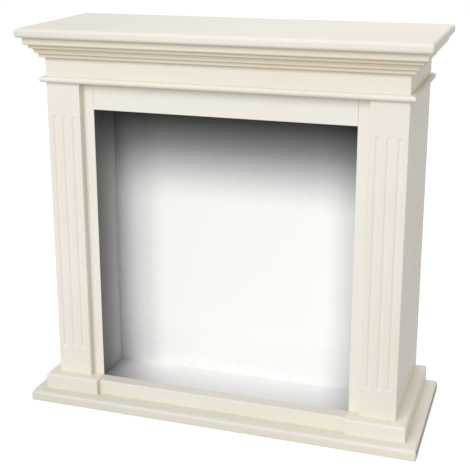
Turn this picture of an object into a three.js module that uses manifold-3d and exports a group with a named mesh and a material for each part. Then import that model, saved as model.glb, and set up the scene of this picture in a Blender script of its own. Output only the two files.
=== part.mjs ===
// Miniature fireplace mantel, one twelfth of full size, built from thin painted wood.
// Millimetres, +Z up. X runs from left to right, the room is on the -Y side, the wall on the +Y side.
// The origin lies on the surface that the mantel stands on, at the middle of its overall box.

import * as THREE from 'three';
import { mergeVertices } from 'three/addons/utils/BufferGeometryUtils.js';
import Module from 'manifold-3d';

const wasm = await Module();
wasm.setup();

// Carcass: two side panels, two stiles and a header, between the base slab and the shelf
const carcassWidth = 94; // over the outer faces of the side panels
const carcassDepth = 34.9; // from the wall to the faces of the pilasters and the frieze
const mantelHeight = 102.8; // from the standing surface to the top of the shelf
const panelThickness = 2.4;
const frameThickness = 2.4; // stiles and header
const stileWidth = 12.5;
const headerFaceHeight = 7; // plain face between the astragal and the top of the opening

// Pilasters planted on the stiles, each with flutes whose ends are round
const pilasterWidth = 9.4;
const pilasterThickness = 1.8; // also that of the frieze board, which is flush with them
const fluteCount = 3;
const flutePitch = 2.7;
const fluteWidth = 1.1;
const fluteDepth = 0.22;
const fluteTopMargin = 8.8; // plain wood above the flutes
const fluteFootMargin = 7.9; // plain wood below them

// Base slab, plinth round the foot of the carcass, and the rail under the opening
const baseThickness = 2.7;
const baseLedge = 3.2; // base slab outside the plinth
const baseNosing = 0.8; // radius of the worked top edge
const plinthHeight = 4.2;
const plinthProud = 3; // plinth outside the carcass
const plinthNosing = 0.6;
const railHeight = 4.05;
const railSetback = 1.3; // rail behind the faces of the plinth blocks
const railNosing = 0.25;

// Shelf, the crown strip right under it, and the bed mould under that
const shelfThickness = 2.35;
const shelfFrontLedge = 1.8; // shelf in front of the crown strip
const shelfEndLedge = 1.4; // shelf beyond the crown strip at each end
const shelfNosing = 0.8;
const crownStripHeight = 1.95;
const crownStripProud = 4.1;
const crownStripNosing = 0.45;
const bedFilletHeight = 0.9;
const bedFilletProud = 3.05;
const coveHeight = 1.4;
const coveTopProud = 2.75;
const coveBottomProud = 1.85;
const footFilletHeight = 1.1;
const footFilletProud = 1.2;

// Frieze and the astragal bead along its lower edge
const friezeFaceHeight = 4.95; // plain face between the astragal and the bed mould
const astragalHeight = 1.5;
const astragalProud = 1.35;

// Firebox lining behind the opening
const liningThickness = 1.6;
const firebackSetback = 19.5; // from the wall to the back of the fireback
const hearthThickness = 1.6;
const bearerWidth = 3;

// Stiffening strips behind the faces
const battenSide = 3; // square batten in each front corner
const cleatWidth = 3;
const cleatHeight = 3;
const rearRailHeight = 10;
const rearRailThickness = 2.4;

// Smoothness of worked edges and flutes
const nosingSteps = 8; // facets of a quarter round
const coveSteps = 10;
const fluteFacets = 36;
const fluteEndFacets = 9;

// Levels, from the standing surface up
const baseTop = baseThickness;
const plinthTop = baseTop + plinthHeight;
const railTop = baseTop + railHeight;
const shelfUnderside = mantelHeight - shelfThickness;
const crownStripFoot = shelfUnderside - crownStripHeight;
const coveTop = crownStripFoot - bedFilletHeight;
const coveFoot = coveTop - coveHeight;
const bedMouldFoot = coveFoot - footFilletHeight;
const astragalTop = bedMouldFoot - friezeFaceHeight;
const astragalFoot = astragalTop - astragalHeight;
const openingTop = astragalFoot - headerFaceHeight;

// Widths, as distances from the middle to the right
const carcassSide = carcassWidth / 2;
const panelInside = carcassSide - panelThickness;
const openingSide = carcassSide - stileWidth;
const pilasterInside = carcassSide - pilasterWidth;
const plinthSide = carcassSide + plinthProud;
const baseSide = plinthSide + baseLedge;
const shelfSide = carcassSide + crownStripProud + shelfEndLedge;
const liningOutside = openingSide + liningThickness;

// Depths, from the wall at the back to the room
const baseDepth = carcassDepth + plinthProud + baseLedge;
const shelfDepth = carcassDepth + crownStripProud + shelfFrontLedge;
const wall = Math.max(baseDepth, shelfDepth) / 2;
const plinthFront = wall - carcassDepth - plinthProud;
const railFront = plinthFront + railSetback;
const carcassFront = wall - carcassDepth;
const frameFront = carcassFront + pilasterThickness;
const frameBack = frameFront + frameThickness;
const rearRailFront = wall - rearRailThickness;
const firebackBack = wall - firebackSetback;
const firebackFront = firebackBack - liningThickness;

// Finishes: satin cream paint outside, soot grey inside the firebox, bare wood where it does not show
const paintColour = 0xefe9dc;
const sootColour = 0xb9b8b6;
const woodColour = 0xd8bd93;

function creamPaint() {
  return new THREE.MeshStandardMaterial({ color: paintColour, roughness: 0.42, metalness: 0 });
}

function sootPaint() {
  return new THREE.MeshStandardMaterial({ color: sootColour, roughness: 0.85, metalness: 0 });
}

function bareWood() {
  return new THREE.MeshStandardMaterial({ color: woodColour, roughness: 0.7, metalness: 0 });
}

// Moves each corner of a shape to its place, and keeps the faces pointing outwards
function remapped(geometry, place) {
  const bare = geometry.clone();
  bare.deleteAttribute('normal');
  bare.deleteAttribute('uv');
  const shape = mergeVertices(bare);
  const corners = shape.getAttribute('position');
  const corner = new THREE.Vector3();
  for (let i = 0; i < corners.count; i += 1) {
    corner.fromBufferAttribute(corners, i);
    const [x, y, z] = place(corner);
    corners.setXYZ(i, x, y, z);
  }
  if (signedVolume(shape) < 0) {
    const index = shape.getIndex();
    for (let i = 0; i < index.count; i += 3) {
      const swap = index.getX(i);
      index.setX(i, index.getX(i + 1));
      index.setX(i + 1, swap);
    }
  }
  return shape;
}

function signedVolume(shape) {
  const corners = shape.getAttribute('position');
  const index = shape.getIndex();
  const a = new THREE.Vector3();
  const b = new THREE.Vector3();
  const c = new THREE.Vector3();
  let volume = 0;
  for (let i = 0; i < index.count; i += 3) {
    a.fromBufferAttribute(corners, index.getX(i));
    b.fromBufferAttribute(corners, index.getX(i + 1));
    c.fromBufferAttribute(corners, index.getX(i + 2));
    volume += a.dot(b.cross(c));
  }
  return volume;
}

function solidOf(geometry) {
  const bare = geometry.clone();
  bare.deleteAttribute('normal');
  bare.deleteAttribute('uv');
  const merged = mergeVertices(bare);
  return new wasm.Manifold(new wasm.Mesh({
    numProp: 3,
    vertProperties: new Float32Array(merged.getAttribute('position').array),
    triVerts: new Uint32Array(merged.getIndex().array),
  }));
}

function geometryOf(solid) {
  const mesh = solid.getMesh();
  const geometry = new THREE.BufferGeometry();
  geometry.setAttribute('position', new THREE.BufferAttribute(new Float32Array(mesh.vertProperties), 3));
  geometry.setIndex(new THREE.BufferAttribute(new Uint32Array(mesh.triVerts), 1));
  return geometry;
}

function piece(name, geometry, material) {
  const flat = geometry.getIndex() ? geometry.toNonIndexed() : geometry;
  flat.computeVertexNormals();
  const mesh = new THREE.Mesh(flat, material);
  mesh.name = name;
  return mesh;
}

// A plain square-edged board between two x, two y and two z limits
function boardGeometry(xs, ys, zs) {
  const pick = (limits, value) => (value < 0 ? Math.min(...limits) : Math.max(...limits));
  return remapped(new THREE.BoxGeometry(1, 1, 1), (c) => [pick(xs, c.x), pick(ys, c.y), pick(zs, c.z)]);
}

// A moulding's section, drawn as proud distance against height, run from start to end.
// Each end of the run may move with the proud distance, which is what a mitre does.
function runGeometry(section, place) {
  const length = new THREE.ExtrudeGeometry(section, { depth: 1, steps: 1, bevelEnabled: false });
  return remapped(length, (c) => place(c.x, c.y, c.z > 0));
}

// Quarter round from one direction to another about a centre, in facets
function quarterRound(outline, centreAcross, centreUp, radius, startTurns, endTurns) {
  for (let i = 0; i <= nosingSteps; i += 1) {
    const turns = THREE.MathUtils.lerp(startTurns, endTurns, i / nosingSteps);
    const angle = turns * Math.PI * 2;
    outline.lineTo(centreAcross + radius * Math.cos(angle), centreUp + radius * Math.sin(angle));
  }
}

// Section of a board whose outer edge is rounded at the top, and at the foot too if asked
function nosedSection(inner, outer, foot, top, topRadius, footRadius) {
  const outline = new THREE.Shape();
  outline.moveTo(inner, foot);
  if (footRadius > 0) {
    quarterRound(outline, outer - footRadius, foot + footRadius, footRadius, -1 / 4, 0);
  } else {
    outline.lineTo(outer, foot);
  }
  if (topRadius > 0) {
    quarterRound(outline, outer - topRadius, top - topRadius, topRadius, 0, 1 / 4);
  } else {
    outline.lineTo(outer, top);
  }
  outline.lineTo(inner, top);
  return outline;
}

// A slab against the wall whose front and two end edges are worked to one section
function nosedSlab(side, depth, foot, top, topRadius, footRadius) {
  const frontSection = nosedSection(0, depth, foot, top, topRadius, footRadius);
  const frontRun = runGeometry(frontSection, (out, up, end) => [end ? side : -side, wall - out, up]);
  const endSection = nosedSection(0, side, foot, top, topRadius, footRadius);
  const rightEnd = runGeometry(endSection, (out, up, end) => [out, end ? wall : wall - depth, up]);
  const leftEnd = runGeometry(endSection, (out, up, end) => [-out, end ? wall : wall - depth, up]);
  const bothEnds = solidOf(rightEnd).add(solidOf(leftEnd));
  return geometryOf(solidOf(frontRun).intersect(bothEnds));
}

// A moulding that wraps the front and both sides of the carcass, mitred at the corners
function wrappedMoulding(name, section) {
  const front = runGeometry(section, (proud, up, end) => [
    end ? carcassSide + proud : -carcassSide - proud,
    carcassFront - proud,
    up,
  ]);
  const pieces = [piece(`${name}_front`, front, creamPaint())];
  for (const [label, side] of [['left', -1], ['right', 1]]) {
    const sideRun = runGeometry(section, (proud, up, end) => [
      side * (carcassSide + proud),
      end ? wall : carcassFront - proud,
      up,
    ]);
    pieces.push(piece(`${name}_return_${label}`, sideRun, creamPaint()));
  }
  return pieces;
}

// Base slab, with its front and ends rounded at the top
function baseSlab() {
  return piece('base_slab', nosedSlab(baseSide, baseDepth, 0, baseTop, baseNosing, 0), creamPaint());
}

// Plinth: a thick block under each pilaster, and a thinner return along each side to the wall
function plinthPieces() {
  const pieces = [];
  for (const [label, side] of [['left', -1], ['right', 1]]) {
    const frontSection = nosedSection(wall - frameFront, wall - plinthFront, baseTop, plinthTop, plinthNosing, 0);
    const frontRun = runGeometry(frontSection, (out, up, end) => [
      side * (end ? plinthSide : openingSide),
      wall - out,
      up,
    ]);
    const endSection = nosedSection(openingSide, plinthSide, baseTop, plinthTop, plinthNosing, 0);
    const endRun = runGeometry(endSection, (out, up, end) => [
      side * out,
      end ? frameFront : plinthFront,
      up,
    ]);
    const block = geometryOf(solidOf(frontRun).intersect(solidOf(endRun)));
    pieces.push(piece(`plinth_block_${label}`, block, creamPaint()));

    const returnSection = nosedSection(carcassSide, plinthSide, baseTop, plinthTop, plinthNosing, 0);
    const returnRun = runGeometry(returnSection, (out, up, end) => [
      side * out,
      end ? wall : frameFront,
      up,
    ]);
    pieces.push(piece(`plinth_return_${label}`, returnRun, creamPaint()));
  }
  return pieces;
}

// Rail across the front of the hearth, between the plinth blocks
function hearthRail() {
  const section = nosedSection(wall - frameFront, wall - railFront, baseTop, railTop, railNosing, 0);
  const run = runGeometry(section, (out, up, end) => [end ? openingSide : -openingSide, wall - out, up]);
  return piece('hearth_rail', run, creamPaint());
}

// Side panels and the face frame: full-height stiles with the header let in between them
function carcassPieces() {
  const pieces = [];
  for (const [label, side] of [['left', -1], ['right', 1]]) {
    const panel = boardGeometry(
      [side * panelInside, side * carcassSide],
      [frameBack, wall],
      [baseTop, shelfUnderside],
    );
    pieces.push(piece(`side_panel_${label}`, panel, creamPaint()));
    const stile = boardGeometry(
      [side * openingSide, side * carcassSide],
      [frameFront, frameBack],
      [baseTop, shelfUnderside],
    );
    pieces.push(piece(`stile_${label}`, stile, creamPaint()));
  }
  const header = boardGeometry(
    [-openingSide, openingSide],
    [frameFront, frameBack],
    [openingTop, shelfUnderside],
  );
  pieces.push(piece('header', header, creamPaint()));
  return pieces;
}

// Radius of the round cutter whose groove has the flute's width at the face and its depth
function fluteCutterRadius() {
  const halfWidth = fluteWidth / 2;
  return (halfWidth * halfWidth + fluteDepth * fluteDepth) / (2 * fluteDepth);
}

// Pilasters, each standing on its plinth block, with evenly spaced flutes cut in the face
function pilasterPieces() {
  const cutterRadius = fluteCutterRadius();
  const cutterCentre = carcassFront + fluteDepth - cutterRadius;
  const foot = plinthTop + fluteFootMargin + fluteWidth / 2;
  const top = astragalFoot - fluteTopMargin - fluteWidth / 2;
  const pieces = [];
  for (const [label, side] of [['left', -1], ['right', 1]]) {
    let solid = solidOf(boardGeometry(
      [side * pilasterInside, side * carcassSide],
      [carcassFront, frameFront],
      [plinthTop, astragalFoot],
    ));
    const middle = side * (pilasterInside + pilasterWidth / 2);
    for (let i = 0; i < fluteCount; i += 1) {
      const cutter = new THREE.CapsuleGeometry(cutterRadius, top - foot, fluteEndFacets, fluteFacets);
      cutter.rotateX(Math.PI / 2);
      const across = middle + (i - (fluteCount - 1) / 2) * flutePitch;
      cutter.translate(across, cutterCentre, (top + foot) / 2);
      solid = solid.subtract(solidOf(cutter));
    }
    pieces.push(piece(`pilaster_${label}`, geometryOf(solid), creamPaint()));
  }
  return pieces;
}

// Frieze board across the tops of the pilasters, up to the shelf behind the crown mouldings
function friezeBoard() {
  const board = boardGeometry(
    [-carcassSide, carcassSide],
    [carcassFront, frameFront],
    [astragalFoot, shelfUnderside],
  );
  return piece('frieze_board', board, creamPaint());
}

// Astragal: a flat strip with a half-round nose
function astragalSection() {
  const noseRadius = Math.min(astragalHeight / 2, astragalProud);
  return nosedSection(0, astragalProud, astragalFoot, astragalTop, noseRadius, noseRadius);
}

// Bed mould: a fillet, a hollow cove below it, and a smaller fillet at the foot
function bedMouldSection() {
  const outline = new THREE.Shape();
  outline.moveTo(0, bedMouldFoot);
  outline.lineTo(footFilletProud, bedMouldFoot);
  outline.lineTo(footFilletProud, coveFoot);
  for (let i = 0; i <= coveSteps; i += 1) {
    const angle = (i / coveSteps) * (Math.PI / 2);
    outline.lineTo(
      coveTopProud - (coveTopProud - coveBottomProud) * Math.cos(angle),
      coveFoot + coveHeight * Math.sin(angle),
    );
  }
  outline.lineTo(bedFilletProud, coveTop);
  outline.lineTo(bedFilletProud, crownStripFoot);
  outline.lineTo(0, crownStripFoot);
  return outline;
}

// Crown strip: a square strip under the shelf, with its lower arris rounded
function crownStripSection() {
  return nosedSection(0, crownStripProud, crownStripFoot, shelfUnderside, 0, crownStripNosing);
}

// Shelf, with its front and ends rounded at the top and at the foot
function shelf() {
  const slab = nosedSlab(shelfSide, shelfDepth, shelfUnderside, mantelHeight, shelfNosing, shelfNosing);
  return piece('shelf', slab, creamPaint());
}

// Firebox: cheeks, ceiling and fireback round the opening, and a hearth level with the rail
function fireboxPieces() {
  const pieces = [];
  for (const [label, side] of [['left', -1], ['right', 1]]) {
    const cheek = boardGeometry(
      [side * openingSide, side * liningOutside],
      [frameBack, firebackFront],
      [baseTop, openingTop],
    );
    pieces.push(piece(`firebox_cheek_${label}`, cheek, sootPaint()));
    const bearer = boardGeometry(
      [side * (openingSide - bearerWidth), side * openingSide],
      [frameFront, firebackFront],
      [baseTop, railTop - hearthThickness],
    );
    pieces.push(piece(`hearth_bearer_${label}`, bearer, bareWood()));
  }
  const hearth = boardGeometry(
    [-openingSide, openingSide],
    [frameFront, firebackFront],
    [railTop - hearthThickness, railTop],
  );
  pieces.push(piece('hearth_board', hearth, sootPaint()));
  const fireback = boardGeometry(
    [-liningOutside, liningOutside],
    [firebackFront, firebackBack],
    [baseTop, openingTop],
  );
  pieces.push(piece('fireback', fireback, sootPaint()));
  const ceiling = boardGeometry(
    [-liningOutside, liningOutside],
    [frameBack, firebackBack],
    [openingTop, openingTop + liningThickness],
  );
  pieces.push(piece('firebox_ceiling', ceiling, sootPaint()));
  return pieces;
}

// Strips that stiffen the glued corners, and the rail that meets the wall under the shelf
function stiffeners() {
  const pieces = [];
  for (const [label, side] of [['left', -1], ['right', 1]]) {
    const batten = boardGeometry(
      [side * (panelInside - battenSide), side * panelInside],
      [frameBack, frameBack + battenSide],
      [baseTop, shelfUnderside],
    );
    pieces.push(piece(`corner_batten_${label}`, batten, bareWood()));
    const cleat = boardGeometry(
      [side * (panelInside - cleatWidth), side * panelInside],
      [frameBack + battenSide, rearRailFront],
      [shelfUnderside - cleatHeight, shelfUnderside],
    );
    pieces.push(piece(`shelf_cleat_${label}`, cleat, bareWood()));
  }
  const rail = boardGeometry(
    [-panelInside, panelInside],
    [rearRailFront, wall],
    [shelfUnderside - rearRailHeight, shelfUnderside],
  );
  pieces.push(piece('rear_top_rail', rail, bareWood()));
  return pieces;
}

function groupOf(pieces) {
  const group = new THREE.Group();
  group.add(...pieces);
  return group;
}

const mantel = new THREE.Group();
mantel.add(groupOf([baseSlab(), ...plinthPieces(), hearthRail()]));
mantel.add(groupOf([...carcassPieces(), ...stiffeners()]));
mantel.add(groupOf(fireboxPieces()));
mantel.add(groupOf([...pilasterPieces(), friezeBoard(), ...wrappedMoulding('astragal', astragalSection())]));
mantel.add(groupOf([
  ...wrappedMoulding('bed_mould', bedMouldSection()),
  ...wrappedMoulding('crown_strip', crownStripSection()),
  shelf(),
]));

export default mantel;
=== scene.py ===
import math

import bmesh
import bpy
from mathutils import Matrix, Vector


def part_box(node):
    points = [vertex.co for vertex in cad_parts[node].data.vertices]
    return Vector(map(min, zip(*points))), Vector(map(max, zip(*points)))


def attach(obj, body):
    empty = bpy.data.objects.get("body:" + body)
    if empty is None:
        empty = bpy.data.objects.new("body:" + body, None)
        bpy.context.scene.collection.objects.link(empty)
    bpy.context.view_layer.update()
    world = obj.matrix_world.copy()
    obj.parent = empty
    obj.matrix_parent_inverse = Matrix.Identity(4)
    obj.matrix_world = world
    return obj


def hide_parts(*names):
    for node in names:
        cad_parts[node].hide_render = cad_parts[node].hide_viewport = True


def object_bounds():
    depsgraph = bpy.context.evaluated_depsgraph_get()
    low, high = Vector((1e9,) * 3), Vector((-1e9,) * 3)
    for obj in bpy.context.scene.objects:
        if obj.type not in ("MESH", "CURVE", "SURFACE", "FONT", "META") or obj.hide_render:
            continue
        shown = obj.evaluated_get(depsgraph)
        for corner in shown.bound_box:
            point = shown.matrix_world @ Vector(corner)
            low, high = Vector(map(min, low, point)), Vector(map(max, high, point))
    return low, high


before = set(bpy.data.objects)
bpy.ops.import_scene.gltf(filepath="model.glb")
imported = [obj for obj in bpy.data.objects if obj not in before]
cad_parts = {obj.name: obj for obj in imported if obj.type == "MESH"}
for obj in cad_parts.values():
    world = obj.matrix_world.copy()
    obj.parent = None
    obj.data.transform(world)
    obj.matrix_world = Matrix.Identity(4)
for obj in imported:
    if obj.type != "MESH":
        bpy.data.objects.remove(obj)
cad_low, cad_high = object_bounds()
mm = 0.001

# Where the mantel is looked at from: standing height at its own scale, to the right of its middle,
# through a long lens. The shift moves the mantel a little up and to the left in the frame, because the
# picture is cropped that way.
eye = Vector((79.88, -247.65, 132.48)) * mm
eye_turn = math.radians(18.8)
eye_dip = math.radians(15.9)
eye_tilt = math.radians(-0.28)
ahead = Vector((-math.sin(eye_turn) * math.cos(eye_dip),
                math.cos(eye_turn) * math.cos(eye_dip),
                -math.sin(eye_dip)))
level_right = Vector((math.cos(eye_turn), math.sin(eye_turn), 0))
level_up = level_right.cross(ahead)
eye_right = level_right * math.cos(eye_tilt) + level_up * math.sin(eye_tilt)
eye_up = level_up * math.cos(eye_tilt) - level_right * math.sin(eye_tilt)
camera_data = bpy.data.cameras.new("view")
camera_data.lens = 78
camera_data.sensor_width = 36
camera_data.shift_x = 0.0319
camera_data.shift_y = -0.0851
camera_data.clip_start = 10 * mm
camera_data.clip_end = 20
camera = bpy.data.objects.new("view", camera_data)
camera.matrix_world = Matrix((eye_right, eye_up, -ahead)).transposed().to_4x4()
camera.location = eye
bpy.context.scene.collection.objects.link(camera)
bpy.context.scene.camera = camera

# The table it stands on: a sheet of white card that runs out of sight, matt enough to show no
# reflection. Seen directly it is nearly shadowless white, with a soft shadow where the base meets it.
floor_reach = 3
floor_gap = 0.02 * mm
card_colour = (0.5, 0.5, 0.49)
card_shade_colour = (0.3, 0.3, 0.3)
card_glow_strength = 0.82
floor_mesh = bpy.data.meshes.new("table_card")
floor_corners = [(-floor_reach, -floor_reach, 0), (floor_reach, -floor_reach, 0),
                 (floor_reach, floor_reach, 0), (-floor_reach, floor_reach, 0)]
floor_mesh.from_pydata(floor_corners, [], [(0, 1, 2, 3)])
floor = bpy.data.objects.new("table_card", floor_mesh)
floor.location.z = -floor_gap
bpy.context.scene.collection.objects.link(floor)
card = bpy.data.materials.new("white_card")
card.use_nodes = True
card_nodes = card.node_tree.nodes
card_links = card.node_tree.links
card_nodes.clear()
card_out = card_nodes.new("ShaderNodeOutputMaterial")
card_mix = card_nodes.new("ShaderNodeMixShader")
card_ray = card_nodes.new("ShaderNodeLightPath")
card_straight = card_nodes.new("ShaderNodeMath")
card_straight.operation = "MAXIMUM"
card_links.new(card_ray.outputs["Is Camera Ray"], card_straight.inputs[0])
card_links.new(card_ray.outputs["Is Glossy Ray"], card_straight.inputs[1])
card_matt = card_nodes.new("ShaderNodeBsdfDiffuse")
card_matt.inputs["Color"].default_value = (*card_colour, 1)
card_seen = card_nodes.new("ShaderNodeAddShader")
card_glow = card_nodes.new("ShaderNodeEmission")
card_glow.inputs["Strength"].default_value = card_glow_strength
card_shade = card_nodes.new("ShaderNodeBsdfDiffuse")
card_shade.inputs["Color"].default_value = (*card_shade_colour, 1)
card_links.new(card_glow.outputs[0], card_seen.inputs[0])
card_links.new(card_shade.outputs[0], card_seen.inputs[1])
card_links.new(card_straight.outputs[0], card_mix.inputs["Fac"])
card_links.new(card_matt.outputs[0], card_mix.inputs[1])
card_links.new(card_seen.outputs[0], card_mix.inputs[2])
card_links.new(card_mix.outputs[0], card_out.inputs["Surface"])
floor_mesh.materials.append(card)

# The light: a large soft lamp in front, a little to the left and above the eye, a small one overhead
# behind the shelf, and the even light of a white room, which is plain white where the eye sees it.
room_colour = (1, 0.99, 0.97)
room_strength = 0.6
front_lamp_place = (-0.36, -1.33, 0.87)
front_lamp_size = 0.95
front_lamp_watts = 15.1
front_lamp_tint = (1, 0.995, 0.985)
top_lamp_place = (0.02, 0.3, 0.55)
top_lamp_size = 0.3
top_lamp_watts = 0.85
white = (1, 1, 1)
room = bpy.data.worlds.new("white_room")
room.use_nodes = True
bpy.context.scene.world = room
room_nodes = room.node_tree.nodes
room_links = room.node_tree.links
room_nodes.clear()
room_out = room_nodes.new("ShaderNodeOutputWorld")
room_ray = room_nodes.new("ShaderNodeLightPath")
room_mix = room_nodes.new("ShaderNodeMixShader")
room_light = room_nodes.new("ShaderNodeBackground")
room_light.inputs["Color"].default_value = (*room_colour, 1)
room_light.inputs["Strength"].default_value = room_strength
room_seen = room_nodes.new("ShaderNodeBackground")
room_seen.inputs["Color"].default_value = (*white, 1)
room_seen.inputs["Strength"].default_value = 1
room_links.new(room_ray.outputs["Is Camera Ray"], room_mix.inputs["Fac"])
room_links.new(room_light.outputs[0], room_mix.inputs[1])
room_links.new(room_seen.outputs[0], room_mix.inputs[2])
room_links.new(room_mix.outputs[0], room_out.inputs["Surface"])


def soft_lamp(name, place, aim, size, watts, tint):
    """A square soft lamp at a place, turned to face a point."""
    lamp_data = bpy.data.lights.new(name, "AREA")
    lamp_data.shape = "SQUARE"
    lamp_data.size = size
    lamp_data.energy = watts
    lamp_data.color = tint
    lamp = bpy.data.objects.new(name, lamp_data)
    lamp.location = place
    lamp.rotation_euler = (Vector(aim) - Vector(place)).to_track_quat("-Z", "Y").to_euler()
    bpy.context.scene.collection.objects.link(lamp)


middle = (0, 0, 50 * mm)
shelf_middle = (0, 0, 100 * mm)
soft_lamp("front_lamp", front_lamp_place, middle, front_lamp_size, front_lamp_watts, front_lamp_tint)
soft_lamp("top_lamp", top_lamp_place, shelf_middle, top_lamp_size, top_lamp_watts, white)

# The base slab: one thin board with a quarter round along its front and ends, square at the back. Its
# satin cream paint is sprayed on, with a fine orange-peel skin, and lets the run of the wood show a
# little. Painted shade: its cream is a shade deeper, darker towards the left, and dark grey on both ends.
cream_light = (0.848, 0.812, 0.745)
cream_deep = (0.808, 0.768, 0.685)
# Painted shade: a warm deep cream laid into creases and under overhangs.
cream_painted_shade = (0.76, 0.62, 0.37)
black = (0, 0, 0)
cloud_scale = 55
cloud_stretch = 3
streak_scale = 1900
streak_stretch = 22
streak_depth = 0.008 * mm
peel_scale = 2600
peel_depth = 0.006 * mm
painted_shade_reach = 4 * mm


def link_chain(links, *sockets):
    """Joins sockets two by two: out, in, out, in."""
    for out_socket, in_socket in zip(sockets[::2], sockets[1::2]):
        links.new(out_socket, in_socket)


def stretched_noise(tree, place, scale, detail, along, stretch):
    """Noise in metres of the mantel's own frame, drawn out along one of its directions."""
    mapping = tree.nodes.new("ShaderNodeMapping")
    mapping.inputs["Scale"].default_value = [1 / stretch if axis == along else 1 for axis in "xyz"]
    noise = tree.nodes.new("ShaderNodeTexNoise")
    noise.inputs["Scale"].default_value = scale
    noise.inputs["Detail"].default_value = detail
    link_chain(tree.links, place, mapping.inputs["Vector"], mapping.outputs[0], noise.inputs["Vector"])
    return noise.outputs["Fac"]


def spread(tree, value, low, high, low_out, high_out, smooth=False):
    """Maps a span of values onto another span and holds it there."""
    span = tree.nodes.new("ShaderNodeMapRange")
    span.interpolation_type = "SMOOTHSTEP" if smooth else "LINEAR"
    span.inputs["From Min"].default_value = low
    span.inputs["From Max"].default_value = high
    span.inputs["To Min"].default_value = low_out
    span.inputs["To Max"].default_value = high_out
    tree.links.new(value, span.inputs["Value"])
    return span.outputs["Result"]


def blended(tree, share, first, second):
    """Mixes two colours, each a fixed colour or a socket, by a share."""
    mix = tree.nodes.new("ShaderNodeMix")
    mix.data_type = "RGBA"
    tree.links.new(share, mix.inputs["Factor"])
    for colour, socket in ((first, mix.inputs["A"]), (second, mix.inputs["B"])):
        if isinstance(colour, bpy.types.NodeSocket):
            tree.links.new(colour, socket)
        else:
            socket.default_value = (*colour, 1)
    return mix.outputs["Result"]


def raised(tree, height, depth, under=None):
    """A small relief of that depth in metres, laid over another one if given."""
    bump = tree.nodes.new("ShaderNodeBump")
    bump.inputs["Strength"].default_value = 1
    bump.inputs["Distance"].default_value = depth
    tree.links.new(height, bump.inputs["Height"])
    if under:
        tree.links.new(under, bump.inputs["Normal"])
    return bump.outputs["Normal"]


def satin_cream(along, name="satin_cream_", light=cream_light, deep=cream_deep,
                left_shade_share=0, left_shade_stop=cad_high.x):
    """Satin cream paint on wood whose grain runs along x, y or z, with painted shade in its creases. It may
    be painted darker by a share at the mantel's left end, as shade, and less and less up to a place."""
    paint = bpy.data.materials.new(name + along)
    paint.use_nodes = True
    tree = paint.node_tree
    shader = tree.nodes["Principled BSDF"]
    place = tree.nodes.new("ShaderNodeTexCoord").outputs["Object"]
    cloud = stretched_noise(tree, place, cloud_scale, 2, along, cloud_stretch)
    streak = stretched_noise(tree, place, streak_scale, 3, along, streak_stretch)
    peel = stretched_noise(tree, place, peel_scale, 2, along, 1)
    tone = blended(tree, spread(tree, cloud, 0.3, 0.7, 0, 1), light, deep)
    # Painted shade: the tone darkens towards the mantel's left end.
    if left_shade_share:
        apart = tree.nodes.new("ShaderNodeSeparateXYZ")
        tree.links.new(place, apart.inputs[0])
        share = spread(tree, apart.outputs["X"], cad_low.x, left_shade_stop, left_shade_share, 0)
        tone = blended(tree, share, tone, black)
    # Painted shade: the cream is darkened and warmed where other parts crowd it, in creases and under
    # overhangs.
    hollow = tree.nodes.new("ShaderNodeAmbientOcclusion")
    hollow.samples = 8
    hollow.inputs["Distance"].default_value = painted_shade_reach
    shaded_in_creases = blended(tree, spread(tree, hollow.outputs["AO"], 0.3, 0.8, 0.3, 0), tone, cream_painted_shade)
    faint = blended(tree, spread(tree, streak, 0.35, 0.65, 0, 0.22), shaded_in_creases, deep)
    tree.links.new(faint, shader.inputs["Base Color"])
    tree.links.new(spread(tree, peel, 0.3, 0.7, 0.44, 0.58), shader.inputs["Roughness"])
    skin = raised(tree, peel, peel_depth)
    tree.links.new(raised(tree, streak, streak_depth, skin), shader.inputs["Normal"])
    shader.inputs["Specular IOR Level"].default_value = 0.36
    return paint


cream_across = satin_cream("x")
cream_deepwise = satin_cream("y")
cream_upright = satin_cream("z")


crisp_angle = math.radians(38)


def shaded_piece(name, mesh):
    """Puts a mesh in the scene as a piece whose rounds read as rounds and true corners stay crisp."""
    mesh.shade_smooth()
    mesh.set_sharp_from_angle(angle=crisp_angle)
    piece = bpy.data.objects.new(name, mesh)
    bpy.context.scene.collection.objects.link(piece)
    return piece


def skinned(name, rings):
    """A closed piece skinned over rings of points that lie one above another."""
    count = len(rings[0])
    corners = [point for ring in rings for point in ring]
    last = len(corners) - count
    faces = [tuple(reversed(range(count))), tuple(range(last, len(corners)))]
    for foot in range(0, last, count):
        for i in range(count):
            j = (i + 1) % count
            faces.append((foot + i, foot + j, foot + count + j, foot + count + i))
    mesh = bpy.data.meshes.new(name)
    mesh.from_pydata(corners, [], faces)
    return shaded_piece(name, mesh)


def settled(piece, node, slot, *finishes):
    """Paints a made piece, stands it for its node and lets it go with the mantel."""
    for finish in finishes:
        piece.data.materials.append(finish)
    shading = piece.modifiers.new("even_shading", "WEIGHTED_NORMAL")
    shading.keep_sharp = True
    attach(piece, "root")
    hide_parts(node)


def worked_slab(name, low, high, worked, edge, corner, arris=0.06 * mm, turns=5):
    """A board whose worked sides follow an edge shape, given from foot to top as (inset, height).
    Where two worked sides meet, the corner is rounded in plan; the others keep a sharp arris."""
    rings = []
    for inset, height in edge:
        x_low = low.x + (inset if "left" in worked else 0)
        x_high = high.x - (inset if "right" in worked else 0)
        y_low = low.y + (inset if "front" in worked else 0)
        y_high = high.y
        plan = [(x_low, y_low, 1, 1, 180, "left front"), (x_high, y_low, -1, 1, 270, "right front"),
                (x_high, y_high, -1, -1, 0, "back"), (x_low, y_high, 1, -1, 90, "back")]
        ring = []
        for x, y, to_x, to_y, start, sides in plan:
            rounded = all(side in worked for side in sides.split())
            radius = corner if rounded else arris
            for step in range(turns + 1):
                angle = math.radians(start + 90 * step / turns)
                ring.append((x + to_x * radius + radius * math.cos(angle),
                             y + to_y * radius + radius * math.sin(angle), height))
        rings.append(ring)
    return skinned(name, rings)


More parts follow.
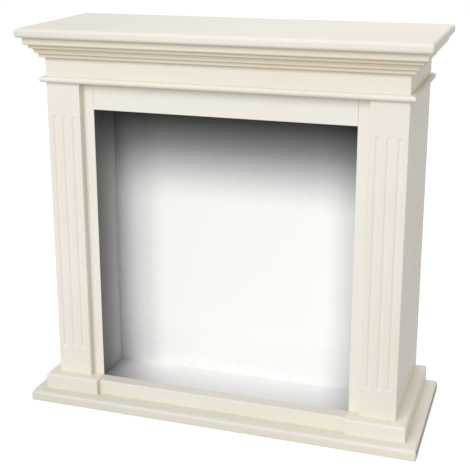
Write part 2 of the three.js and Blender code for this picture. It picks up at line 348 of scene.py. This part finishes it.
def round_over(low, high, top_radius, foot_radius, steps=9):
    """The edge shape of a board rounded over at its top and foot, as (inset, height)."""
    edge = []
    for step in range(steps + 1):
        angle = math.pi / 2 * step / steps
        edge.append((foot_radius * (1 - math.sin(angle)), low + foot_radius * (1 - math.cos(angle))))
    for step in range(steps + 1):
        angle = math.pi / 2 * step / steps
        edge.append((top_radius * (1 - math.cos(angle)), high - top_radius * (1 - math.sin(angle))))
    return edge


looking = {"left": Vector((-1, 0, 0)), "right": Vector((1, 0, 0)), "front": Vector((0, -1, 0)),
           "back": Vector((0, 1, 0)), "foot": Vector((0, 0, -1)), "top": Vector((0, 0, 1))}
square_on = 0.9


def finished_where(piece, number, *sides):
    """Gives one of a board's finishes to its faces on the named sides."""
    for face in piece.data.polygons:
        if any(face.normal.dot(looking[side]) > square_on for side in sides):
            face.material_index = number


# Painted shade: the base's cream is deeper than the rest, as the shade near the floor.
base_shade_light = (0.825, 0.8, 0.73)
base_shade_deep = (0.786, 0.756, 0.672)
base_shaded_across = satin_cream("x", "base_shade_cream_", base_shade_light, base_shade_deep, left_shade_share=0.15)
# Painted shade: both ends of the base are painted dark grey, as the shade on them.
end_shade_light = (0.36, 0.355, 0.33)
end_shade_deep = (0.31, 0.305, 0.285)
painted_shade_ends = satin_cream("y", "end_shade_cream_", end_shade_light, end_shade_deep)
base_nosing = 0.8 * mm
base_foot_easing = 0.1 * mm
long_board_corner = 0.5 * mm
base_low, base_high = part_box("base_slab")
base_edge = round_over(base_low.z, base_high.z, base_nosing, base_foot_easing)
base = worked_slab("painted_base_slab", base_low, base_high, ("left", "front", "right"), base_edge,
                   long_board_corner)
settled(base, "base_slab", "cream_paint", base_shaded_across, painted_shade_ends)
finished_where(base, 1, "left", "right")

# The plinth: a thick block glued under each pilaster and a thinner return along each side, with the
# top outer edge eased by sanding. The rail between the blocks is set back a little behind them, and
# its top is painted a greyer cream, as shade.
plinth_nosing = 0.6 * mm
foot_easing = 0.05 * mm
block_corner = 0.3 * mm
block_arris = 0.18 * mm
glued_arris = 0.03 * mm
rail_nosing = 0.3 * mm
rail_corner = 0.1 * mm
rail_arris = 0.05 * mm
# Painted shade on the rail's top: a greyer cream.
rail_top_shade_light = (0.74, 0.71, 0.65)
rail_top_shade_deep = (0.705, 0.67, 0.6)
rail_top_shade_across = satin_cream("x", "rail_top_shade_cream_", rail_top_shade_light, rail_top_shade_deep)
# Painted shade: the plinth blocks and rail are painted darker towards the mantel's left end.
plinth_light = (0.862, 0.832, 0.765)
plinth_deep = (0.822, 0.787, 0.704)
plinth_across = satin_cream("x", "plinth_cream_", plinth_light, plinth_deep, left_shade_share=0.1)
for side in ("left", "right"):
    block_low, block_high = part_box("plinth_block_" + side)
    block_edge = round_over(block_low.z, block_high.z, plinth_nosing, foot_easing)
    block = worked_slab("painted_plinth_block_" + side, block_low, block_high, (side, "front"),
                        block_edge, block_corner, block_arris)
    settled(block, "plinth_block_" + side, "cream_paint", plinth_across)
    return_low, return_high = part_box("plinth_return_" + side)
    return_edge = round_over(return_low.z, return_high.z, plinth_nosing, foot_easing)
    plinth_return = worked_slab("painted_plinth_return_" + side, return_low, return_high, (side,),
                                return_edge, block_corner, glued_arris)
    settled(plinth_return, "plinth_return_" + side, "cream_paint", cream_deepwise)
rail_low, rail_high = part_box("hearth_rail")
rail_edge = round_over(rail_low.z, rail_high.z, rail_nosing, foot_easing)
rail = worked_slab("painted_hearth_rail", rail_low, rail_high, ("front",),
                   rail_edge, rail_corner, rail_arris)
settled(rail, "hearth_rail", "cream_paint", plinth_across, rail_top_shade_across)
finished_where(rail, 1, "top")

# The stiffening strips inside the shell: a batten up each front corner, a cleat along each side under
# the shelf and a rail across the back, all of bare softwood with sawn edges, glued in before the shelf.
pine_light = (0.8, 0.66, 0.47)
pine_dark = (0.69, 0.53, 0.34)
figure_scale = 300
figure_stretch = 30
ring_width = 0.07
fibre_scale = 3800
fibre_stretch = 40
fibre_depth = 0.02 * mm


def bare_pine(along):
    """Bare sanded softwood with its growth lines drawn out along x, y or z."""
    pine = bpy.data.materials.new("bare_pine_" + along)
    pine.use_nodes = True
    tree = pine.node_tree
    shader = tree.nodes["Principled BSDF"]
    place = tree.nodes.new("ShaderNodeTexCoord").outputs["Object"]
    figure = stretched_noise(tree, place, figure_scale, 1, along, figure_stretch)
    fibre = stretched_noise(tree, place, fibre_scale, 3, along, fibre_stretch)
    rings = tree.nodes.new("ShaderNodeMath")
    rings.operation = "PINGPONG"
    rings.inputs[1].default_value = ring_width
    tree.links.new(figure, rings.inputs[0])
    late_wood = spread(tree, rings.outputs[0], 0.02, ring_width, 0, 0.6, True)
    grown = blended(tree, late_wood, pine_light, pine_dark)
    fibrous = blended(tree, spread(tree, fibre, 0.4, 0.7, 0, 0.35), grown, pine_dark)
    tree.links.new(fibrous, shader.inputs["Base Color"])
    tree.links.new(spread(tree, fibre, 0.3, 0.7, 0.6, 0.8), shader.inputs["Roughness"])
    tree.links.new(raised(tree, fibre, fibre_depth), shader.inputs["Normal"])
    shader.inputs["Specular IOR Level"].default_value = 0.3
    return pine


def eased_board(name, low, high, eased=(), soft=0.18 * mm, crisp=glued_arris):
    """A square board. Each edge named by the two sides it joins, such as 'front left', is sanded soft;
    the edges that are glued to other pieces stay crisp."""
    board = bmesh.new()
    bmesh.ops.create_cube(board, size=1)
    for vert in board.verts:
        vert.co = Vector(low[i] if vert.co[i] < 0 else high[i] for i in range(3))
    weight = board.edges.layers.float.new("bevel_weight_edge")
    board.normal_update()
    for edge in board.edges:
        normals = [face.normal for face in edge.link_faces]
        is_soft = any(all(any(normal.dot(looking[side]) > square_on for normal in normals)
                          for side in pair.split()) for pair in eased)
        edge[weight] = 1 if is_soft else crisp / soft
    mesh = bpy.data.meshes.new(name)
    board.to_mesh(mesh)
    board.free()
    piece = shaded_piece(name, mesh)
    easing = piece.modifiers.new("eased_edges", "BEVEL")
    easing.width = soft
    easing.segments = 3
    easing.limit_method = "WEIGHT"
    return piece


pine_across = bare_pine("x")
pine_deepwise = bare_pine("y")
pine_upright = bare_pine("z")
sawn = 0.08 * mm
for side in ("left", "right"):
    batten = eased_board("bare_corner_batten_" + side, *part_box("corner_batten_" + side), (), sawn, sawn)
    settled(batten, "corner_batten_" + side, "bare_wood", pine_upright)
    cleat = eased_board("bare_shelf_cleat_" + side, *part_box("shelf_cleat_" + side), (), sawn, sawn)
    settled(cleat, "shelf_cleat_" + side, "bare_wood", pine_deepwise)
rear_rail = eased_board("bare_rear_top_rail", *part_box("rear_top_rail"), (), sawn, sawn)
settled(rear_rail, "rear_top_rail", "bare_wood", pine_across)

# The face frame and the sides: two full-height stiles with the header let in between them, butted and
# glued, in a slightly paler cream, and a side panel behind each stile. The frame's edges round the
# opening carry the firebox's painted shade, darkest at the top and left, as the shade of the recess.
frame_light = (0.872, 0.846, 0.79)
frame_deep = (0.831, 0.8, 0.726)
frame_across = satin_cream("x", "frame_cream_", frame_light, frame_deep)
frame_upright = satin_cream("z", "frame_cream_", frame_light, frame_deep)
opening_low = Vector((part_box("stile_left")[1].x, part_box("stile_left")[0].y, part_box("hearth_rail")[1].z))
opening_high = Vector((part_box("stile_right")[0].x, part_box("fireback")[0].y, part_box("header")[0].z))
# Painted shade in the firebox: white lining paint darkened towards the opening's top and left edges.
lining_white = (0.965, 0.965, 0.965)
painted_shade_black = (0.004, 0.004, 0.005)
painted_shade_darkest = 0.149
painted_shade_curve = 2.2
mottle_scale = 700
mottle_share = 0.015
speck_scale = 4200
speck_depth = 0.005 * mm

# How the painted shade fades in from the opening's left, right, top and foot: the edge as its axis, its
# place, the way in and the share of the depth that counts; where the fade starts and stops, measured
# from the edge; and how much white is left where it starts.
painted_shade_fades = (
    (("X", opening_low.x, 1, 0.46), -12 * mm, 21.5 * mm, 0),
    (("X", opening_high.x, -1, -0.185), -5 * mm, 9 * mm, 0.72),
    (("Z", opening_high.z, -1, -0.2), -8 * mm, 25.5 * mm, 0),
    (("Z", opening_low.z, 1, 0.5), -3 * mm, 8 * mm, 0.87))


def painted_shade_lining(name, strength, *evened):
    """Matt white lining paint with painted shade, near black towards the top and left of the opening.
    The shade is laid on thinner where a board stands in shadow anyway: each evened span is an axis,
    the two places between which the paint changes, and how many times lighter it is at each."""
    lining = bpy.data.materials.new(name)
    lining.use_nodes = True
    tree = lining.node_tree
    shader = tree.nodes["Principled BSDF"]
    place = tree.nodes.new("ShaderNodeTexCoord").outputs["Object"]
    apart = tree.nodes.new("ShaderNodeSeparateXYZ")
    tree.links.new(place, apart.inputs[0])

    def reach(across, start, sign, back_share):
        """Distance into the opening from one edge, counted with a share of the depth."""
        depth = tree.nodes.new("ShaderNodeMath")
        depth.operation = "MULTIPLY_ADD"
        depth.inputs[1].default_value = back_share
        depth.inputs[2].default_value = -back_share * opening_low.y - sign * start
        tree.links.new(apart.outputs["Y"], depth.inputs[0])
        total = tree.nodes.new("ShaderNodeMath")
        total.operation = "MULTIPLY_ADD"
        total.inputs[1].default_value = sign
        tree.links.new(apart.outputs[across], total.inputs[0])
        tree.links.new(depth.outputs[0], total.inputs[2])
        return total.outputs[0]

    def product(*factors):
        """Multiplies the shares together."""
        result = factors[0]
        for factor in factors[1:]:
            times = tree.nodes.new("ShaderNodeMath")
            times.operation = "MULTIPLY"
            tree.links.new(result, times.inputs[0])
            tree.links.new(factor, times.inputs[1])
            result = times.outputs[0]
        return result

    fades = [spread(tree, reach(*edge), start, stop, white_share, 1, True)
             for edge, start, stop, white_share in painted_shade_fades]
    tone = spread(tree, product(*fades), 0, 1, painted_shade_darkest, 1)
    sprayed = tree.nodes.new("ShaderNodeMath")
    sprayed.operation = "POWER"
    sprayed.inputs[1].default_value = painted_shade_curve
    tree.links.new(tone, sprayed.inputs[0])
    mottle = stretched_noise(tree, place, mottle_scale, 3, "x", 1)
    uneven = spread(tree, mottle, 0.3, 0.7,
                    (1 - mottle_share) * strength, (1 + mottle_share) * strength)
    thinner = [spread(tree, apart.outputs[axis], low, high, at_low, at_high, True)
               for axis, low, high, at_low, at_high in evened]
    share = product(sprayed.outputs[0], uneven, *thinner)
    tree.links.new(blended(tree, share, painted_shade_black, lining_white), shader.inputs["Base Color"])
    shader.inputs["Roughness"].default_value = 0.85
    speck = stretched_noise(tree, place, speck_scale, 2, "x", 1)
    tree.links.new(raised(tree, speck, speck_depth), shader.inputs["Normal"])
    shader.inputs["Specular IOR Level"].default_value = 0.2
    return lining


lining_sides = painted_shade_lining(
    "painted_shade_lining_sides", 1.48,
    ("Z", opening_high.z - 28 * mm, opening_high.z + 2 * mm, 1, 2.4),
    ("Y", opening_low.y + 3 * mm, opening_high.y, 1, 1.22))
lining_back = painted_shade_lining(
    "soot_shaded_back", 1.02,
    ("Z", opening_high.z - 12 * mm, opening_high.z, 1, 1.8),
    ("Z", opening_low.z, opening_low.z + 18 * mm, 0.89, 1),
    ("X", opening_low.x, opening_low.x + 10 * mm, 1.6, 1))
lining_floor = painted_shade_lining(
    "painted_shade_lining_floor", 0.975,
    ("X", opening_low.x, opening_low.x + 20 * mm, 1.4, 1),
    ("X", opening_high.x - 32 * mm, opening_high.x, 1, 0.95))


for side, inner in (("left", "right"), ("right", "left")):
    stile = eased_board("painted_stile_" + side, *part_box("stile_" + side), ("front " + inner,))
    settled(stile, "stile_" + side, "cream_paint", frame_upright, lining_sides, pine_upright)
    finished_where(stile, 1, inner)
    finished_where(stile, 2, "back")
    panel = eased_board("painted_side_panel_" + side, *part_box("side_panel_" + side),
                        ("back " + side, "back " + inner))
    settled(panel, "side_panel_" + side, "cream_paint", cream_upright, pine_upright)
    finished_where(panel, 1, inner)
header = eased_board("painted_header", *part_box("header"), ("front foot",))
settled(header, "header", "cream_paint", frame_across, lining_sides, pine_across)
finished_where(header, 1, "foot")
finished_where(header, 2, "back")

# The firebox: thin cheeks, a ceiling and a fireback round the opening, and a hearth board laid level
# with the rail on two bearers. Only their faces towards the room take the lining paint with its painted
# shade.
for side, inner in (("left", "right"), ("right", "left")):
    cheek = eased_board("lining_cheek_" + side, *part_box("firebox_cheek_" + side))
    settled(cheek, "firebox_cheek_" + side, "soot_paint", lining_sides, pine_upright)
    finished_where(cheek, 1, side, "top", "foot", "back")
    bearer = eased_board("bare_hearth_bearer_" + side, *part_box("hearth_bearer_" + side), (), sawn, sawn)
    settled(bearer, "hearth_bearer_" + side, "bare_wood", pine_deepwise)
fireback = eased_board("lining_fireback", *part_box("fireback"))
settled(fireback, "fireback", "soot_paint", lining_back, pine_upright)
finished_where(fireback, 1, "back", "left", "right", "top", "foot")
ceiling = eased_board("lining_firebox_ceiling", *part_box("firebox_ceiling"))
settled(ceiling, "firebox_ceiling", "soot_paint", lining_sides, pine_across)
finished_where(ceiling, 1, "top", "back", "left", "right")
hearth = eased_board("lining_hearth_board", *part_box("hearth_board"))
settled(hearth, "hearth_board", "soot_paint", lining_floor, pine_across)
finished_where(hearth, 1, "foot")

# The pilasters: thin boards planted on the stiles, standing on the plinth blocks. Three shallow
# flutes with round ends are cut in each face before it is painted, so the paint softens their lips.
flute_count = 3
flute_pitch = 2.7 * mm
flute_half_width = 0.55 * mm
flute_depth = 0.22 * mm
plain_foot = 7.9 * mm
plain_top = 8.8 * mm
flute_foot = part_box("plinth_block_left")[1].z + plain_foot
flute_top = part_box("pilaster_left")[1].z - plain_top
flute_round = (flute_half_width ** 2 + flute_depth ** 2) / (2 * flute_depth)
lip = 0.12 * mm
flute_edge = flute_half_width + lip
flute_end_reach = flute_half_width * 1.2
pilaster_arris = 0.2 * mm
arris_steps = 4
margin_columns = 4
flute_columns = 18
fillet_columns = 3
margin_rows = 3
flute_end_rows = 14
flute_rows = 24


def flute_sink(off_centre, height):
    """How deep the face is cut, at a distance from a flute's middle line and at a height."""
    beyond = max(flute_foot + flute_half_width - height, height - flute_top + flute_half_width, 0)
    away = math.hypot(off_centre, beyond)
    if away >= flute_edge:
        return 0
    if away > flute_half_width - lip:
        cut = math.sqrt(flute_round ** 2 - (flute_half_width - lip) ** 2) - (flute_round - flute_depth)
        return cut * ((flute_edge - away) / (2 * lip)) ** 2
    return math.sqrt(flute_round ** 2 - away ** 2) - (flute_round - flute_depth)


def evenly(start, stop, count):
    """Values from start to stop in equal steps, without the last."""
    return [start + (stop - start) * i / count for i in range(count)]


for side in ("left", "right"):
    low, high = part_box("pilaster_" + side)
    middle_line = (low.x + high.x) / 2
    centres = [middle_line + (i - (flute_count - 1) / 2) * flute_pitch for i in range(flute_count)]
    last_column = high.x - pilaster_arris
    columns = evenly(low.x + pilaster_arris, centres[0] - flute_edge, margin_columns)
    for centre in centres:
        columns += evenly(centre - flute_edge, centre + flute_edge, flute_columns)
        if centre != centres[-1]:
            columns += evenly(centre + flute_edge, centre + flute_pitch - flute_edge, fillet_columns)
    columns += evenly(centres[-1] + flute_edge, last_column, margin_columns) + [last_column]
    rows = evenly(low.z, flute_foot - lip, margin_rows)
    rows += evenly(flute_foot - lip, flute_foot + flute_end_reach, flute_end_rows)
    rows += evenly(flute_foot + flute_end_reach, flute_top - flute_end_reach, flute_rows)
    rows += evenly(flute_top - flute_end_reach, flute_top + lip, flute_end_rows)
    rows += evenly(flute_top + lip, high.z, margin_rows) + [high.z]
    turn = [math.pi / 2 * step / arris_steps for step in range(arris_steps + 1)]
    rings = []
    for height in rows:
        ring = [(low.x, high.y)]
        ring += [(low.x + pilaster_arris * (1 - math.cos(angle)),
                  low.y + pilaster_arris * (1 - math.sin(angle))) for angle in turn[:-1]]
        for x in columns:
            sink = max(flute_sink(x - centre, height) for centre in centres)
            ring.append((x, low.y + sink))
        ring += [(high.x - pilaster_arris * (1 - math.sin(angle)),
                  low.y + pilaster_arris * (1 - math.cos(angle))) for angle in turn[1:]]
        ring.append((high.x, high.y))
        rings.append([(x, y, height) for x, y in ring])
    pilaster = skinned("painted_pilaster_" + side, rings)
    settled(pilaster, "pilaster_" + side, "cream_paint", cream_upright)

# The frieze: a board across the tops of the pilasters and flush with them, running up behind the
# crown to the shelf.
frieze = eased_board("painted_frieze_board", *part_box("frieze_board"), ("front left", "front right"))
settled(frieze, "frieze_board", "cream_paint", cream_across)

# The mouldings: lengths of stuck moulding cut with mitres and glued round the front and both sides.
# The astragal is a strip with a half-round nose that covers the joint of frieze and pilasters.
wall = base_high.y
carcass_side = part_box("side_panel_right")[1].x
carcass_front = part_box("frieze_board")[0].y


def rounded_corners(points, radii, steps=5):
    """A section drawn through corner points, each rounded by its own radius."""
    section = []
    for i, (point, radius) in enumerate(zip(points, radii)):
        here = Vector(point)
        to_last = Vector(points[i - 1]) - here
        to_next = Vector(points[(i + 1) % len(points)]) - here
        if radius == 0:
            section.append(tuple(here))
            continue
        to_last.normalize()
        to_next.normalize()
        half = to_last.angle(to_next) / 2
        start = here + to_last * radius / math.tan(half)
        stop = here + to_next * radius / math.tan(half)
        centre = here + (to_last + to_next).normalized() * radius / math.sin(half)
        for step in range(steps + 1):
            along = (start - centre).lerp(stop - centre, step / steps)
            section.append(tuple(centre + along.normalized() * radius))
    return section


def mitred_lengths(name, node, section, across, deepwise):
    """A front length and two returns of one section, drawn as (proud, height), with mitred corners."""
    runs = {
        node + "_front": lambda proud, end: (
            (carcass_side + proud) * (1 if end else -1), carcass_front - proud),
        node + "_return_left": lambda proud, end: (
            -carcass_side - proud, wall if end else carcass_front - proud),
        node + "_return_right": lambda proud, end: (
            carcass_side + proud, wall if end else carcass_front - proud),
    }
    for length, place in runs.items():
        corners = []
        for end in (False, True):
            for proud, height in section:
                x, y = place(proud, end)
                corners.append((x, y, height))
        count = len(section)
        faces = [tuple(range(count)), tuple(reversed(range(count, 2 * count)))]
        for i in range(count):
            j = (i + 1) % count
            faces.append((i, i + count, j + count, j))
        shape = bmesh.new()
        verts = [shape.verts.new(corner) for corner in corners]
        for face in faces:
            shape.faces.new([verts[i] for i in face])
        bmesh.ops.recalc_face_normals(shape, faces=shape.faces)
        mesh = bpy.data.meshes.new(name + length)
        shape.to_mesh(mesh)
        shape.free()
        piece = shaded_piece(name + length, mesh)
        settled(piece, length, "cream_paint", across if length.endswith("front") else deepwise)


def proud_of(node):
    """How far a front moulding stands out from the carcass."""
    return carcass_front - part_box(node)[0].y


def strip_section(node, foot_radius, top_radius, steps):
    """The section of a square strip with its two outer corners rounded."""
    low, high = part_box(node)
    proud = proud_of(node)
    return rounded_corners([(0, low.z), (proud, low.z), (proud, high.z), (0, high.z)],
                           [0, foot_radius, top_radius, 0], steps)


astragal_low, astragal_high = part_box("astragal_front")
astragal_nose = (astragal_high.z - astragal_low.z) / 2 * 0.99
astragal_section = strip_section("astragal_front", astragal_nose, astragal_nose, 8)
mitred_lengths("painted_", "astragal", astragal_section, cream_across, cream_deepwise)

# The bed mould under the crown: a fillet, a hollow cove cut below it and a smaller fillet at the foot.
# Its cream is painted deeper and browner, as the shade that falls under the shelf and crown strip.
bed_shade_light = (0.76, 0.69, 0.57)
bed_shade_deep = (0.72, 0.64, 0.51)
bed_shade_across = satin_cream("x", "bed_shade_cream_", bed_shade_light, bed_shade_deep)
bed_shade_deepwise = satin_cream("y", "bed_shade_cream_", bed_shade_light, bed_shade_deep)
bed_low, bed_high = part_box("bed_mould_front")
bed_proud = proud_of("bed_mould_front")
bed_fillet = 0.9 * mm
cove_height = 1.4 * mm
cove_top_proud = 2.75 * mm
cove_foot_proud = 1.85 * mm
foot_fillet_proud = 1.2 * mm
cove_top = bed_high.z - bed_fillet
cove_foot = cove_top - cove_height
soft_arris = 0.14 * mm
bed_top_arris = 0.05 * mm
cove_steps = 12
bed_section = rounded_corners(
    [(0, bed_low.z), (foot_fillet_proud, bed_low.z), (foot_fillet_proud, cove_foot)],
    [0, soft_arris, 0])
for step in range(cove_steps + 1):
    angle = math.pi / 2 * step / cove_steps
    bed_section.append((cove_top_proud - (cove_top_proud - cove_foot_proud) * math.cos(angle),
                        cove_foot + cove_height * math.sin(angle)))
bed_section += rounded_corners(
    [(cove_top_proud, cove_top), (bed_proud, cove_top), (bed_proud, bed_high.z), (0, bed_high.z)],
    [0, soft_arris, bed_top_arris, 0])[1:]
mitred_lengths("painted_", "bed_mould", bed_section, bed_shade_across, bed_shade_deepwise)

# The crown strip: a square strip glued up under the shelf, its lower arris rounded. Its cream is
# painted a little warmer and deeper, as shade under the shelf, less than on the bed mould.
crown_shade_light = (0.845, 0.79, 0.69)
crown_shade_deep = (0.8, 0.745, 0.635)
crown_shade_across = satin_cream("x", "crown_shade_cream_", crown_shade_light, crown_shade_deep)
crown_shade_deepwise = satin_cream("y", "crown_shade_cream_", crown_shade_light, crown_shade_deep)
crown_round = 0.45 * mm
crown_section = strip_section("crown_strip_front", crown_round, glued_arris, 5)
mitred_lengths("painted_", "crown_strip", crown_section, crown_shade_across, crown_shade_deepwise)

# The shelf: the top board, glued on last, with its front and ends rounded over above and below. Its
# cream is painted darker near the left end, as shade, as on the plinth and the base.
shelf_across = satin_cream("x", "shelf_cream_", left_shade_share=0.1, left_shade_stop=0)
shelf_nosing = 0.8 * mm
shelf_low, shelf_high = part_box("shelf")
shelf_edge = round_over(shelf_low.z, shelf_high.z, shelf_nosing, shelf_nosing)
shelf = worked_slab("painted_shelf", shelf_low, shelf_high, ("left", "front", "right"), shelf_edge,
                    long_board_corner)
settled(shelf, "shelf", "cream_paint", shelf_across)

bpy.context.scene.view_settings.view_transform = "Standard"
